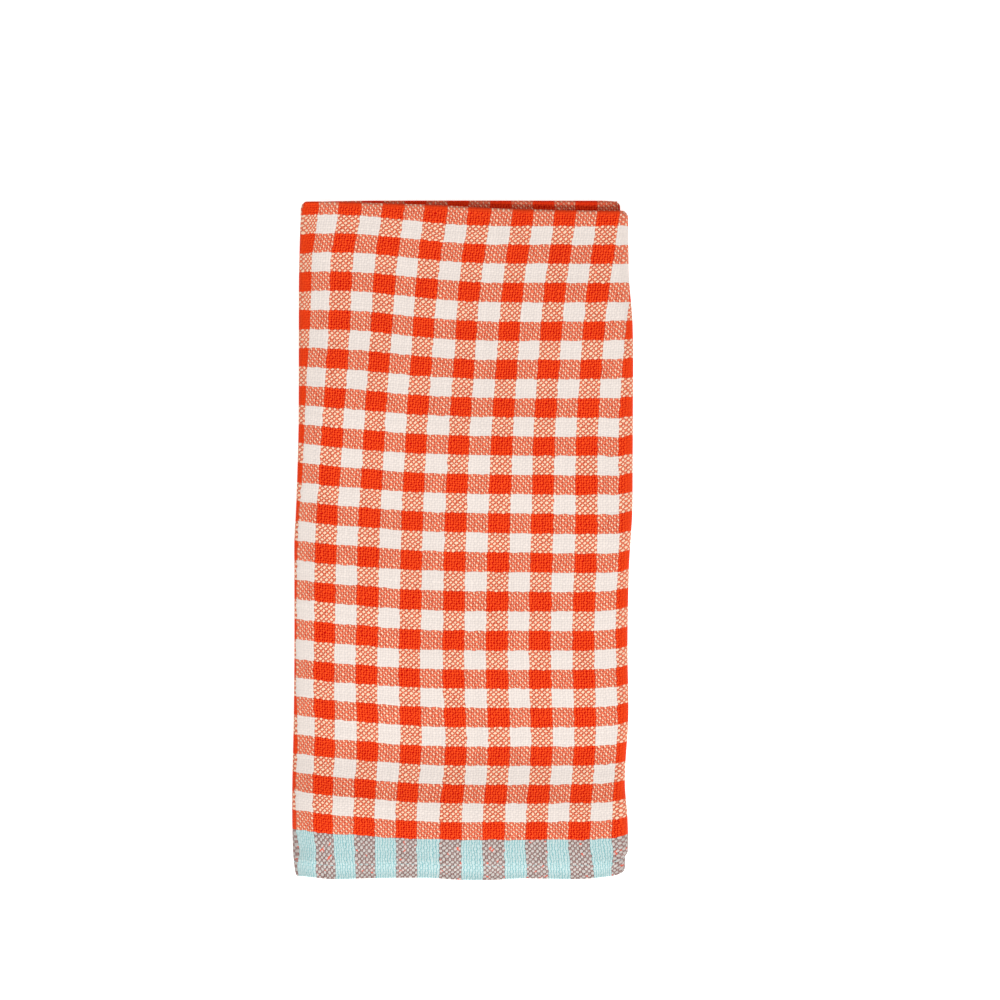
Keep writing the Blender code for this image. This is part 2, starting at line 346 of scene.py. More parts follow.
def bow(x, height):
    high = smooth_step((height - BOW_LOW_HEIGHT) / (BOW_HIGH_HEIGHT - BOW_LOW_HEIGHT))
    return mix(curve(BOWS, "x", "low", x), curve(BOWS, "x", "high", x), high)


def drift(x, height, way):
    """How far the weave is drawn aside, by a parabola through three places across."""
    left, middle, right = (
        curve(DRIFTS, "height", side + way, height) for side in ("left_", "middle_", "right_"))
    from_left = (left - middle) / DRIFT_LEFT
    from_right = (right - middle) / DRIFT_RIGHT
    bend = (from_right - from_left) / (DRIFT_RIGHT - DRIFT_LEFT)
    x = np.clip(x, -DRIFT_REACH, DRIFT_REACH)
    return middle + x * (from_left - DRIFT_LEFT * bend) + x * x * bend


def sag(x, height):
    rim = smooth_step((x - SAG_START) / SAG_WIDTH)
    return SAG_DEPTH * rim * np.exp(-((height - SAG_HEIGHT) / SAG_SPAN) ** 2)


def nudge(x, height):
    """How far a stripe lies to the right of where its drift puts it."""
    first, *others = Nudge._fields[1:]
    aside = curve(NUDGES, "x", first, x)
    for low, high, column in zip(NUDGE_HEIGHTS, NUDGE_HEIGHTS[1:], others):
        share = smooth_step((height - low) / (high - low))
        aside = mix(aside, curve(NUDGES, "x", column, x), share)
    return aside


def check_count(x, height):
    """Checks from the sheet's left edge to a place on the top layer."""
    x = x - drift(x, height, "x") - nudge(x, height)
    count = curve(CHECK_COUNTS, "height", "count", height)
    shoulder = smooth_step((SHOULDER_START - x) / (SHOULDER_START - SHOULDER_END))
    straight = x / curve(CHECK_COUNTS, "height", "width", height)
    return count + straight + STRIPE_OFFSET - shoulder * SHOULDER_ENDS / CHECK


class Sheet:
    """Middle surface of the cloth as a grid of columns by rows, with its weave coordinates."""

    def __init__(self):
        halves, distance, share, turn = along_rows()
        side = np.cos(np.pi * turn)
        self.columns = [(zone, s) for zone, shares in ACROSS for s in shares]
        shape = (len(self.columns), len(halves))
        self.point = np.zeros(shape + (3,))
        self.end = np.zeros(shape)
        self.pick = np.zeros(shape)
        self.hem_distance = np.zeros(shape)
        self.fold = np.zeros(shape[0])
        for c, (zone, s) in enumerate(self.columns):
            place = place_across(zone, s)
            fold, hem_out, hem_in = (
                float(curve(REACHES, "place", column, place)) for column in Reach._fields[1:])
            self.fold[c] = fold
            hem = np.where(halves == OUTER, hem_out, hem_in)
            straight = mix(hem + distance, fold, share)
            turned = fold + PAIR_LIFT * PITCH * np.sin(np.pi * turn)
            height = np.where(halves == TURN, turned, straight)
            from_fold = np.where(halves == TURN, 0.0, fold - height)
            own = np.where(halves == TURN, fold, height - hem)
            self.hem_distance[c] = own
            thin = smooth_step((own - HEM_THIN_START) / HEM_THIN_WIDTH)
            thickness = mix(HEM_THICKNESS, CLOTH_THICKNESS, thin)
            pitch = PITCH * (1 + hem_swell(height))
            near = np.clip(1 - from_fold / CORNER_DEPTH, 0.0, 1.0)
            corner = CORNER_INSET * (1 - np.sqrt(1 - near ** 2))
            inset = corner + PAIR_LIFT * pitch + thickness / 2
            left = curve(SIDES, "height", "left", height) + inset + LEFT_FOLD_RADIUS * pitch
            right = curve(SIDES, "height", "right", height) - inset - RIGHT_FOLD_RADIUS * pitch
            lift = side * PAIR_LIFT
            apart = side * smooth_step(from_fold / ARC_EASE)
            x, level, end = self.across(
                zone, s, left, right, corner, lift, pitch, height, apart)
            if zone != "right_third":
                upper = (level - TUCKED_LEVEL) / (TOP_LEVEL - TUCKED_LEVEL)
                depth = TUCKED_LEVEL * mix(1.0, UPPER_SINK, upper)
                reach = (right - RIGHT_TUCK - SINK_START - np.maximum(x, left)) / SINK_WIDTH
                level = level - depth * smooth_step(reach)
            z = thickness / 2 + level * pitch * (1 + uneven_swell(x, height))
            self.point[c, :, 0] = x
            self.point[c, :, 1] = height - FOLDED_LENGTH / 2
            self.point[c, :, 2] = z
            self.end[c] = end
            self.pick[c] = self.along(
                zone, s, x, height, hem_out, hem_in, fold, halves, turn)

    @staticmethod
    def across(zone, s, left, right, corner, lift, pitch, height, apart):
        """x, level and warp end of one column; the ends run straight past the corners' inset."""
        left_end = CHECK * check_count(left - corner, height)
        right_end = CHECK * check_count(right + corner, height)
        per_end = curve(CHECK_COUNTS, "height", "width", height) / CHECK
        left_arc = math.pi * (LEFT_FOLD_RADIUS + apart * PAIR_LIFT) * PITCH / per_end
        right_arc = math.pi * (RIGHT_FOLD_RADIUS + apart * PAIR_LIFT) * PITCH / per_end
        if zone == "left_third":
            x = mix(right - LEFT_THIRD_STOP, left, s)
            end = left_end - left_arc - (x - left + corner) / TUCKED_END_WIDTH
            return x, TOP_PAIR - 2 * LEFT_FOLD_RADIUS - lift, end
        if zone == "middle":
            x = mix(left, right, s)
            return x, TOP_PAIR + lift, CHECK * check_count(x, height)
        if zone == "right_third":
            end = mix(right_end + right_arc, ENDS, s)
            return right - s * RIGHT_TUCK, TOP_PAIR - 2 * RIGHT_FOLD_RADIUS - lift, end
        angle = math.pi * s
        if zone == "left_fold":
            radius = LEFT_FOLD_RADIUS + lift
            level = TOP_PAIR - LEFT_FOLD_RADIUS - radius * math.cos(angle)
            end = mix(left_end - left_arc, CHECK * check_count(left, height), s)
            return left - radius * pitch * math.sin(angle), level, end
        radius = RIGHT_FOLD_RADIUS + lift
        level = TOP_PAIR - RIGHT_FOLD_RADIUS + radius * math.cos(angle)
        end = mix(CHECK * check_count(right, height), right_end + right_arc, s)
        return right + radius * pitch * math.sin(angle), level, end

    @staticmethod
    def along(zone, s, x, height, hem_out, hem_in, fold, halves, turn):
        """Weft pick number of one column's rows."""
        if zone == "left_third":
            x = np.full_like(x, BOWS[0].x)
        if zone == "right_third":
            x = np.full_like(x, BOWS[-1].x)
        border = BAND_LENGTH + bow(x, height)
        drawn = height - drift(x, height, "up") + sag(x, height)
        fold_bow = float(np.mean(bow(x[halves == TURN], height[halves == TURN])))
        fold_pick = BAND_PICKS + (fold - BAND_LENGTH - fold_bow) / PICK_LENGTH
        in_band = BAND_PICKS * (drawn - hem_out) / (border - hem_out)
        above = BAND_PICKS + (drawn - border) / PICK_LENGTH
        if zone == "left_third":
            lag = TUCKED_LAG * smooth_step((1 - s) / TUCKED_LAG_SHARE)
            above = above - lag * (height - border) / (fold - border)
            fold_pick -= lag
        outer = np.where(drawn < border, in_band, above)
        turned = fold_pick + turn * math.pi * PAIR_LIFT * PITCH / PICK_LENGTH
        start = fold_pick + math.pi * PAIR_LIFT * PITCH / PICK_LENGTH
        inner_border = hem_in + BAND_LENGTH
        inner_band = PICKS - BAND_PICKS * (height - hem_in) / BAND_LENGTH
        inner_field = mix(start, PICKS - BAND_PICKS, (fold - height) / (fold - inner_border))
        inner = np.where(height < inner_border, inner_band, inner_field)
        return np.select([halves == OUTER, halves == TURN], [outer, turned], inner)

    def normals(self):
        over = np.gradient(self.point, axis=0)
        up = np.gradient(self.point, axis=1)
        n = np.cross(over, up)
        return n / np.linalg.norm(n, axis=2, keepdims=True)


# Rise of the faces over a turned hem, its puff, and the sunk seam
HEM_END = 0.0088
HEM_END_WIDTH = 0.0006
HEM_RISE_OUTER = 0.00006
HEM_RISE_INNER = 0.00024
HEM_PUFF = 0.00010
SEAM_WIDTH = 0.0007
SEAM_SINK_OUTER = 0.00012
SEAM_SINK_INNER = 0.00010
HEM_EASE = 0.00006
HEM_EASE_START = 0.0092
HEM_EASE_WIDTH = 0.004

# Rounding of the rims, which never thin out altogether
ROUND_HEM = 0.0008
ROUND_HEM_MOST = 0.985
ROUND_SIDE = 0.0006
ROUND_SIDE_MOST = 0.98


def rounded(distance, radius, most):
    """Share of the thickness that is left at a distance from a rim."""
    return np.sqrt(1 - np.clip(1 - distance / radius, 0, most) ** 2)


def face_offsets(sheet):
    """Distances of the outer and inner faces from the middle surface."""
    d = sheet.hem_distance
    in_hem = 1 - smooth_step((d - HEM_END) / HEM_END_WIDTH)
    seam = np.exp(-((d - SEAM) / SEAM_WIDTH) ** 2)
    puff = HEM_PUFF * np.sin(np.pi * np.clip(d / SEAM, 0, 1))
    ease = HEM_EASE * (1 - smooth_step((d - HEM_EASE_START) / HEM_EASE_WIDTH))
    half = CLOTH_THICKNESS / 2
    outer = half + in_hem * (HEM_RISE_OUTER + puff) - SEAM_SINK_OUTER * seam + ease
    inner = half + in_hem * (HEM_RISE_INNER + puff) - SEAM_SINK_INNER * seam
    step = np.linalg.norm(np.diff(sheet.point, axis=0), axis=2)
    from_left = np.vstack([np.zeros((1, d.shape[1])), np.cumsum(step, axis=0)])
    from_side = np.minimum(from_left, from_left[-1] - from_left)
    rim = np.minimum(rounded(d, ROUND_HEM, ROUND_HEM_MOST),
                     rounded(from_side, ROUND_SIDE, ROUND_SIDE_MOST))
    return outer * rim, inner * rim


def pressed_and_shaded(sheet):
    """1 on the rims of the folds, where the weave is pressed smooth and darkened with painted
    shade, 0 elsewhere.
    """
    x = sheet.point[..., 0]
    height = sheet.point[..., 1] + FOLDED_LENGTH / 2
    from_left = x - curve(SIDES, "height", "left", height) - PRESS_RIM
    from_right = curve(SIDES, "height", "right", height) - x - PRESS_RIM
    from_fold = sheet.fold[:, None] - height
    away = np.minimum(from_left / PRESS_WIDTH_LEFT, from_right / PRESS_WIDTH_RIGHT)
    return 1 - smooth_step(np.minimum(away, from_fold / PRESS_WIDTH_FOLD))


def cloth_mesh(name, sheet):
    """Closed mesh of both faces and the rims between them, with its two UV maps."""
    c, r = sheet.end.shape
    index = np.arange(c * r).reshape(c, r)
    a, b = index[:-1, :-1], index[1:, :-1]
    d, e = index[1:, 1:], index[:-1, 1:]
    top = np.stack([a, b, d, e], axis=-1).reshape(-1, 4)
    under = top[:, ::-1] + c * r
    rims = []
    for line in (index[:, 0], index[-1, :], index[::-1, -1], index[0, ::-1]):
        start, stop = line[:-1], line[1:]
        rims.append(np.stack([stop, start, start + c * r, stop + c * r], axis=-1))
    faces = np.concatenate([top, under] + rims)
    vertices = np.concatenate([sheet.outer.reshape(-1, 3), sheet.inner.reshape(-1, 3)])
    mesh = bpy.data.meshes.new(name)
    mesh.vertices.add(len(vertices))
    mesh.vertices.foreach_set("co", vertices.ravel())
    mesh.loops.add(faces.size)
    mesh.loops.foreach_set("vertex_index", faces.ravel().astype(np.int32))
    mesh.polygons.add(len(faces))
    mesh.polygons.foreach_set("loop_start", np.arange(0, faces.size, 4, dtype=np.int32))
    mesh.update(calc_edges=True)
    mesh.validate()
    where = np.empty(len(mesh.loops), dtype=np.int32)
    mesh.loops.foreach_get("vertex_index", where)
    # The second map holds the rims, pressed and given painted shade, and the tucked third, which
    # gets painted shade
    tucked_shade_mask = np.zeros((c, r))
    tucked_shade_mask[[zone == "left_third" for zone, s in sheet.columns]] = 1.0
    for uv_name, u, v in (("weave", sheet.end / ENDS, sheet.pick / PICKS),
                          ("press_and_shade", pressed_and_shaded(sheet), tucked_shade_mask)):
        uv = np.stack([np.tile(u.ravel(), 2)[where], np.tile(v.ravel(), 2)[where]], axis=-1)
        mesh.uv_layers.new(name=uv_name).data.foreach_set("uv", uv.ravel())
    mesh.shade_smooth()
    return mesh


# ---------------------------------------------------------------------------
# Node and object helpers
# ---------------------------------------------------------------------------
class Value:
    """A socket that can be reckoned with, one Math node per step."""

    def __init__(self, tree, socket):
        self.tree = tree
        self.socket = socket

    def make(self, operation, *others):
        node = self.tree.nodes.new("ShaderNodeMath")
        node.operation = operation
        for slot, item in zip(node.inputs, (self,) + others):
            feed(self.tree, slot, item)
        return Value(self.tree, node.outputs[0])

    def __add__(self, other):
        return self.make("ADD", other)

    __radd__ = __add__

    def __mul__(self, other):
        return self.make("MULTIPLY", other)

    def __sub__(self, other):
        return self.make("SUBTRACT", other)

    def __rsub__(self, other):
        return self.make("MULTIPLY", -1.0) + other

    def __truediv__(self, other):
        return self.make("DIVIDE", other)

    def floor(self):
        return self.make("FLOOR")

    def cosine(self):
        return self.make("COSINE")

    def sine(self):
        return self.make("SINE")

    def root(self):
        return self.make("SQRT")

    def absolute(self):
        return self.make("ABSOLUTE")

    def most(self, other):
        return self.make("MAXIMUM", other)

    def least(self, other):
        return self.make("MINIMUM", other)

    def above(self, other):
        return self.make("GREATER_THAN", other)

    def below(self, other):
        return self.make("LESS_THAN", other)

    def remainder(self, other):
        return self.make("FLOORED_MODULO", other)

    def ramp(self, low, high, start=0.0, end=1.0):
        node = self.tree.nodes.new("ShaderNodeMapRange")
        node.interpolation_type = "SMOOTHSTEP"
        self.tree.links.new(self.socket, node.inputs["Value"])
        node.inputs["From Min"].default_value = low
        node.inputs["From Max"].default_value = high
        node.inputs["To Min"].default_value = start
        node.inputs["To Max"].default_value = end
        return Value(self.tree, node.outputs["Result"])


def feed(tree, slot, item):
    """Link a value to a slot, or set the slot to a number or a colour."""
    if isinstance(item, Value):
        tree.links.new(item.socket, slot)
    elif isinstance(item, tuple):
        slot.default_value = (*item, 1.0)
    else:
        slot.default_value = float(item)


def combine(x, y, z=0.0):
    tree = next(item.tree for item in (x, y, z) if isinstance(item, Value))
    node = tree.nodes.new("ShaderNodeCombineXYZ")
    for slot, item in zip(node.inputs, (x, y, z)):
        feed(tree, slot, item)
    return Value(tree, node.outputs[0])


# Noise: how fast it changes along both axes, its place in the third, detail and roughness
Noise = namedtuple("Noise", "rate_x rate_y seed detail roughness")


def noise(kind, x, y):
    where = combine(x * kind.rate_x, y * kind.rate_y, kind.seed)
    node = where.tree.nodes.new("ShaderNodeTexNoise")
    node.noise_dimensions = "3D"
    where.tree.links.new(where.socket, node.inputs["Vector"])
    node.inputs["Scale"].default_value = 1.0
    node.inputs["Detail"].default_value = kind.detail
    node.inputs["Roughness"].default_value = kind.roughness
    return Value(where.tree, node.outputs[0])


def random_of(vector):
    node = vector.tree.nodes.new("ShaderNodeTexWhiteNoise")
    node.noise_dimensions = "3D"
    vector.tree.links.new(vector.socket, node.inputs["Vector"])
    return Value(vector.tree, node.outputs["Value"])


def between(factor, first, second):
    """One number where the factor is 0, and another where it is 1."""
    return factor * (second - first) + first


def mix_value(factor, first, second):
    node = factor.tree.nodes.new("ShaderNodeMix")
    node.data_type = "FLOAT"
    for slot, item in ((0, factor), (2, first), (3, second)):
        feed(factor.tree, node.inputs[slot], item)
    return Value(factor.tree, node.outputs[0])


def mix_colour(factor, first, second, mode="MIX"):
    tree = next(item.tree for item in (factor, first, second) if isinstance(item, Value))
    node = tree.nodes.new("ShaderNodeMix")
    node.data_type = "RGBA"
    node.blend_type = mode
    for slot, item in ((0, factor), (6, first), (7, second)):
        feed(tree, node.inputs[slot], item)
    return Value(tree, node.outputs[2])


def scale_colour(colour, amount):
    """The colour times a number."""
    node = colour.tree.nodes.new("ShaderNodeVectorMath")
    node.operation = "SCALE"
    colour.tree.links.new(colour.socket, node.inputs[0])
    colour.tree.links.new(amount.socket, node.inputs["Scale"])
    return Value(colour.tree, node.outputs[0])


def uv_axes(tree, name):
    """Both coordinates of a UV map."""
    node = tree.nodes.new("ShaderNodeUVMap")
    node.uv_map = name
    split = tree.nodes.new("ShaderNodeSeparateXYZ")
    tree.links.new(node.outputs[0], split.inputs[0])
    return Value(tree, split.outputs[0]), Value(tree, split.outputs[1])


def new_material(name):
    """A material, its node tree and its shader."""
    material = bpy.data.materials.new(name)
    material.use_nodes = True
    return material, material.node_tree, material.node_tree.nodes["Principled BSDF"]


def add_bump(shader, height, strength, distance):
    node = height.tree.nodes.new("ShaderNodeBump")
    node.inputs["Strength"].default_value = strength
    node.inputs["Distance"].default_value = distance
    height.tree.links.new(height.socket, node.inputs["Height"])
    height.tree.links.new(node.outputs[0], shader.inputs["Normal"])


def set_inputs(shader, **values):
    """Plain numbers and colours of a shader's inputs, named with _ for each space."""
    for name, value in values.items():
        shader.inputs[name.replace("_", " ")].default_value = value


def add_object(name, data):
    thing = bpy.data.objects.new(name, data)
    bpy.context.scene.collection.objects.link(thing)
    return thing


# ---------------------------------------------------------------------------
# Cotton
# ---------------------------------------------------------------------------
STUDIO_LIGHT = 1.2


class Yarn:
    """Colour of a yarn, and the tint of the painted shade that it throws on a neighbour in the
    gaps beside it.
    """

    def __init__(self, colour, shade_tint=None):
        self.colour = tuple(c / STUDIO_LIGHT for c in colour)
        self.shade_tint = shade_tint


# Each yarn's colour, then the tint of the painted shade in the gaps beside it
RED = Yarn((1.030, 0.079, 0.010), (0.567, 0.016, 0.001))
WHITE = Yarn((0.938, 0.833, 0.762), (0.790, 0.800, 0.830))
AQUA = Yarn((0.300, 0.700, 0.745), (0.150, 0.570, 0.630))

# In mixed squares both yarns look warmer and the painted shade in their gaps is browner, and in
# the band's mixed squares both look dull
WARM_WHITE = (0.935, 0.735, 0.525)
WARM_RED = (0.765, 0.066, 0.006)
MIXED_SHADE_TINT = (0.360, 0.200, 0.150)
MIXED_SHADE_TINT_SHARE = 0.32
DULL_RED = Yarn((0.375, 0.200, 0.185), (0.400, 0.340, 0.320))
DULL_AQUA = Yarn((0.690, 0.660, 0.620))

# Yarns in the weave, in ends and picks
WARP_HALF_WIDTH = 0.240
WEFT_HALF_WIDTH = 0.355
BAND_HALF_WIDTH = 0.318
SLUB_WARP = 0.065
SLUB_WEFT = 0.085
SLUB_LOW = 0.25
SLUB_HIGH = 0.75
WARP_CRIMP = 0.484
WEFT_CRIMP = 0.582
BAND_CRIMP = 1.196
WARP_ROUND = 0.426
WEFT_ROUND = 0.549
BAND_ROUND = 0.523
WARP_LEAN = -0.294
WEFT_LEAN = 0.096
BLEND = 0.040

# Gaps between the yarns, darkened with painted shade, and how far the yarn beneath shows through
GAP_LOW = 0.455
GAP_HIGH = 0.540
GAP_DEPTH_BAND = 0.818
GAP_DEPTH_PALE = 0.600
FUZZ = 0.163
FUZZ_BAND = 0.440
FUZZ_DULL = 0.150

# Painted shade in the grooves between neighbouring ends and picks
END_GROOVE = 0.081
END_GROOVE_WHITE = 0.140
END_GROOVE_BAND = 0.780
END_GROOVE_WIDTH = 0.228
END_GROOVE_WIDTH_PALE = 0.357
PICK_GROOVE = 0.018
PICK_GROOVE_WIDTH = 0.131

# Ends that are pulled up here and there in the band
PULL_START = 0.630
PULL_WIDTH = 0.07
PULL_SHARE = 0.70

# How far yarns wander, in ends and picks
WANDER = 0.30
UNEVEN_YARN = 0.85

# Rims, pressed smooth and darkened with painted shade, and painted shade on the tucked third and
# the outermost picks
PRESSED_SHARE = 0.72
RIM_PAINTED_SHADE = 0.08
PRESSED_FLAT = 0.75
PRESSED_FLAT_MIXED = 0.30
TUCKED_PAINTED_SHADE = (0.900, 0.640, 0.570)
HEM_PAINTED_SHADE = 0.84
HEM_SHADE_PICKS = 6.0

# Shares of the uneven tones
TONE = 0.86
TONE_YARN = 0.07
TONE_SLUB = 0.08
TONE_FIBRE = 0.10
TONE_WASH = 0.04

# Relief, twist and gloss
RELIEF = 0.00022
RELIEF_STRENGTH = 0.28
TWIST_ALONG = 3.0
TWIST_ACROSS = 1.6
TWIST_RELIEF = 0.035
FIBRE_RELIEF = 0.12
ROUGH = 0.95
ROUGH_CROWN = 0.10
ROUGH_FIBRE = 0.06

# Noise over the ends and picks, for each kind of unevenness
WANDER_X = Noise(0.11, 0.11, 0.0, 3.0, 0.5)
WANDER_Y = Noise(0.11, 0.11, 7.3, 3.0, 0.5)
UNEVEN_X = Noise(0.60, 0.45, 3.1, 0.0, 0.5)
UNEVEN_Y = Noise(0.45, 0.60, 5.7, 0.0, 0.5)
WARP_SLUBS = Noise(3.17, 0.13, 1.3, 2.0, 0.5)
WEFT_SLUBS = Noise(0.10, 2.71, 9.1, 2.0, 0.5)
PULLS = Noise(0.40, 0.44, 21.0, 1.0, 0.5)
FIBRES = Noise(2.3, 2.3, 2.2, 3.0, 0.7)
WASH = Noise(0.02, 0.02, 11.0, 2.0, 0.5)
WARP_TONE_SEED = 4.0


def cotton(name):
    material, tree, shader = new_material(name)
    u, v = uv_axes(tree, "weave")
    flat_end = u * ENDS
    flat_pick = v * PICKS
    press_and_shade, tucked_shade_mask = uv_axes(tree, "press_and_shade")

    # Yarns wander a little
    wander_x = (noise(WANDER_X, flat_end, flat_pick) - 0.5) * WANDER
    wander_y = (noise(WANDER_Y, flat_end, flat_pick) - 0.5) * WANDER
    fine_x = (noise(UNEVEN_X, flat_end, flat_pick) - 0.5) * UNEVEN_YARN
    fine_y = (noise(UNEVEN_Y, flat_end, flat_pick) - 0.5) * UNEVEN_YARN
    end = flat_end + wander_x + fine_x
    pick = flat_pick + wander_y + fine_y
    i = end.floor()
    j = pick.floor()
    p = end - i - 0.5
    q = pick - j - 0.5
    sign = 1.0 - (i + j).remainder(2.0) * 2.0
    band_pick = j.below(BAND_PICKS - 0.5).most(j.above(PICKS - BAND_PICKS - 0.5))

    # Thick and thin places of each yarn
    warp_slub = noise(WARP_SLUBS, i, flat_pick)
    weft_slub = noise(WEFT_SLUBS, flat_end, j)
    warp_half = warp_slub.ramp(
        SLUB_LOW, SLUB_HIGH, WARP_HALF_WIDTH - SLUB_WARP, WARP_HALF_WIDTH + SLUB_WARP)
    weft_half = weft_slub.ramp(SLUB_LOW, SLUB_HIGH, -SLUB_WEFT, SLUB_WEFT)
    weft_half = weft_half + between(band_pick, WEFT_HALF_WIDTH, BAND_HALF_WIDTH)

    # Height of each yarn set over the middle surface
    pull = noise(PULLS, flat_end, flat_pick).ramp(PULL_START, PULL_START + PULL_WIDTH)
    warp_line = sign * (q * math.pi).cosine() * WARP_CRIMP + pull * band_pick
    weft_line = sign * (p * math.pi).cosine() * between(band_pick, -WEFT_CRIMP, -BAND_CRIMP)
    warp_across = (p - q * WARP_LEAN) / warp_half
    weft_across = (q - p * WEFT_LEAN) / weft_half
    warp_top = warp_line + (1.0 - warp_across * warp_across).most(0.0).root() * WARP_ROUND
    weft_round = between(band_pick, WEFT_ROUND, BAND_ROUND)
    weft_top = weft_line + (1.0 - weft_across * weft_across).most(0.0).root() * weft_round
    warp_shows = (warp_top - weft_top).ramp(-BLEND, BLEND)
    relief = warp_top.most(weft_top)

    # Colours of the yarns, and the tint of the painted shade that each throws on its neighbour
    red_warp = (i - STRIPE_START).remainder(CHECK).below(STRIPE - 0.5)
    red_weft = j.remainder(CHECK).below(STRIPE - 0.5)
    mixed = (red_warp - red_weft).absolute() * (1.0 - band_pick)
    white = mix_colour(mixed, WHITE.colour, WARM_WHITE)
    red = mix_colour(mixed, RED.colour, WARM_RED)
    dull = red_warp * band_pick
    pulled = dull * pull * PULL_SHARE
    warp_colour = mix_colour(red_warp, white, red)
    warp_colour = mix_colour(dull - pulled, warp_colour, DULL_RED.colour)
    warp_shade_tint = mix_colour(red_warp, WHITE.shade_tint, RED.shade_tint)
    weft_colour = mix_colour(band_pick, mix_colour(red_weft, white, red), AQUA.colour)
    weft_colour = mix_colour(dull, weft_colour, DULL_AQUA.colour)
    weft_shade_tint = mix_colour(band_pick, mix_colour(red_weft, WHITE.shade_tint, RED.shade_tint), AQUA.shade_tint)
    pale = (1.0 - red_warp) * (1.0 - red_weft * (1.0 - band_pick))
    fuzz = dull * (FUZZ_DULL - FUZZ) + pale * band_pick * (FUZZ_BAND - FUZZ) + FUZZ
    fuzz = fuzz * (1.0 - pulled)
    fuzzy = warp_shows * (1.0 - fuzz * 2.0) + fuzz
    crown = mix_colour(fuzzy, weft_colour, warp_colour)
    shade_tint = mix_colour(warp_shows, warp_shade_tint, weft_shade_tint)
    shade_tint = mix_colour(dull, shade_tint, DULL_RED.shade_tint)
    shade_tint = mix_colour(mixed * MIXED_SHADE_TINT_SHARE, shade_tint, MIXED_SHADE_TINT)
    groove_depth = pale * between(band_pick, END_GROOVE_WHITE, END_GROOVE_BAND)
    groove_depth = groove_depth + (1.0 - pale) * (1.0 - band_pick) * END_GROOVE
    beside = p.absolute() - 0.5
    groove_width = between(pale, END_GROOVE_WIDTH, END_GROOVE_WIDTH_PALE)
    groove = (beside / groove_width + 1.0).ramp(0.0, 1.0) * groove_depth
    pick_groove = q.absolute().ramp(0.5 - PICK_GROOVE_WIDTH, 0.5) * (1.0 - pale) * PICK_GROOVE
    gap_depth = between(band_pick, 1.0, GAP_DEPTH_BAND)
    gap_depth = gap_depth + pale * (GAP_DEPTH_PALE - gap_depth)
    unshaded_share = 1.0 - gap_depth * relief.ramp(GAP_LOW, GAP_HIGH, 1.0, 0.0)
    unshaded_share = unshaded_share * (1.0 - groove) * (1.0 - pick_groove)
    flat = between(mixed, PRESSED_FLAT, PRESSED_FLAT_MIXED) * press_and_shade
    unshaded_share = unshaded_share + (PRESSED_SHARE - unshaded_share) * flat
    # Painted shade: the crown colour is darkened and tinted in the gaps and grooves between the
    # yarns
    gap_shade = mix_colour(unshaded_share, shade_tint, (1.0, 1.0, 1.0))
    colour = mix_colour(1.0, crown, gap_shade, "MULTIPLY")
    # Painted shade on the tucked third, which lies low beside the top layer's fold
    colour = mix_colour(tucked_shade_mask, colour, TUCKED_PAINTED_SHADE, "MULTIPLY")

    # Each yarn is dyed and spun a little unevenly, and painted shade darkens the rims and the
    # outermost picks
    warp_tone = random_of(combine(i, 0.0, WARP_TONE_SEED))
    yarn_tone = mix_value(warp_shows, random_of(combine(0.0, j)), warp_tone)
    slub_tone = mix_value(warp_shows, weft_slub, warp_slub)
    fibre = noise(FIBRES, flat_end, flat_pick)
    wash = noise(WASH, flat_end, flat_pick)
    tone = TONE + yarn_tone * TONE_YARN + slub_tone * TONE_SLUB
    # Painted shade darkens the rims of the folds
    tone = tone + fibre * TONE_FIBRE + wash * TONE_WASH - press_and_shade * RIM_PAINTED_SHADE
    # Painted shade darkens the outermost picks at both hems
    from_end = flat_pick.least(PICKS - flat_pick)
    tone = tone * from_end.ramp(0.0, HEM_SHADE_PICKS, HEM_PAINTED_SHADE, 1.0)
    colour = scale_colour(colour, tone)
    tree.links.new(colour.socket, shader.inputs["Base Color"])

    # Twist of the yarns, seen close up
    warp_twist = ((q * TWIST_ALONG + p * TWIST_ACROSS) * (2 * math.pi)).sine()
    weft_twist = ((p * TWIST_ALONG - q * TWIST_ACROSS) * (2 * math.pi)).sine()
    twist = mix_value(warp_shows, weft_twist, warp_twist)
    height = relief + twist * TWIST_RELIEF + fibre * FIBRE_RELIEF
    add_bump(shader, height, RELIEF_STRENGTH, RELIEF)

    rough = ROUGH - unshaded_share * ROUGH_CROWN - fibre * ROUGH_FIBRE
    tree.links.new(rough.socket, shader.inputs["Roughness"])
    set_inputs(shader, Specular_IOR_Level=0.06, Sheen_Weight=0.03, Sheen_Roughness=0.5)
    return material


# ---------------------------------------------------------------------------
# Seam threads of the hems
# ---------------------------------------------------------------------------
STITCH_EVERY = 0.0030
STITCH_LENGTH = 0.0023
STITCH_RADIUS = 0.00015
STITCH_RISE = 0.00009
STITCH_SINK = 0.00012
STITCH_RINGS = 6
STITCH_SIDES = 6
STITCH_END_SHARE = 0.55
STITCH_ARCH = 0.6
STITCH_SWAY = 0.00007
STITCH_SLANT = 0.00016
FIRST_STITCH = 0.0012
LAST_STITCH = 0.0008
STITCH_SEED = 11
THREAD_COLOUR = (0.33, 0.56, 0.58)
THREAD_LIGHT = (0.48, 0.70, 0.71)
THREAD_MAP_SCALE = 1000.0
THREAD_FIBRES = Noise(9.0, 5.0, 0.0, 3.0, 0.7)
PLY_TURNS = 1.7
THREAD_TONE = 0.80
THREAD_TONE_PLY = 0.16
THREAD_TONE_FIBRE = 0.10
THREAD_RELIEF = 0.00006
THREAD_RELIEF_STRENGTH = 0.6
THREAD_FIBRE_RELIEF = 0.4
THREAD_ROUGH = 0.72
THREAD_ROUGH_FIBRE = 0.16


def seam_lines(sheet):
    """The seam on both faces of both hems: points, and directions away from the cloth."""
    seam_row = HEM_ROWS.index(SEAM)
    for row in (seam_row, -1 - seam_row):
        yield sheet.outer[:, row], sheet.normal[:, row]
        yield sheet.inner[:, row], -sheet.normal[:, row]


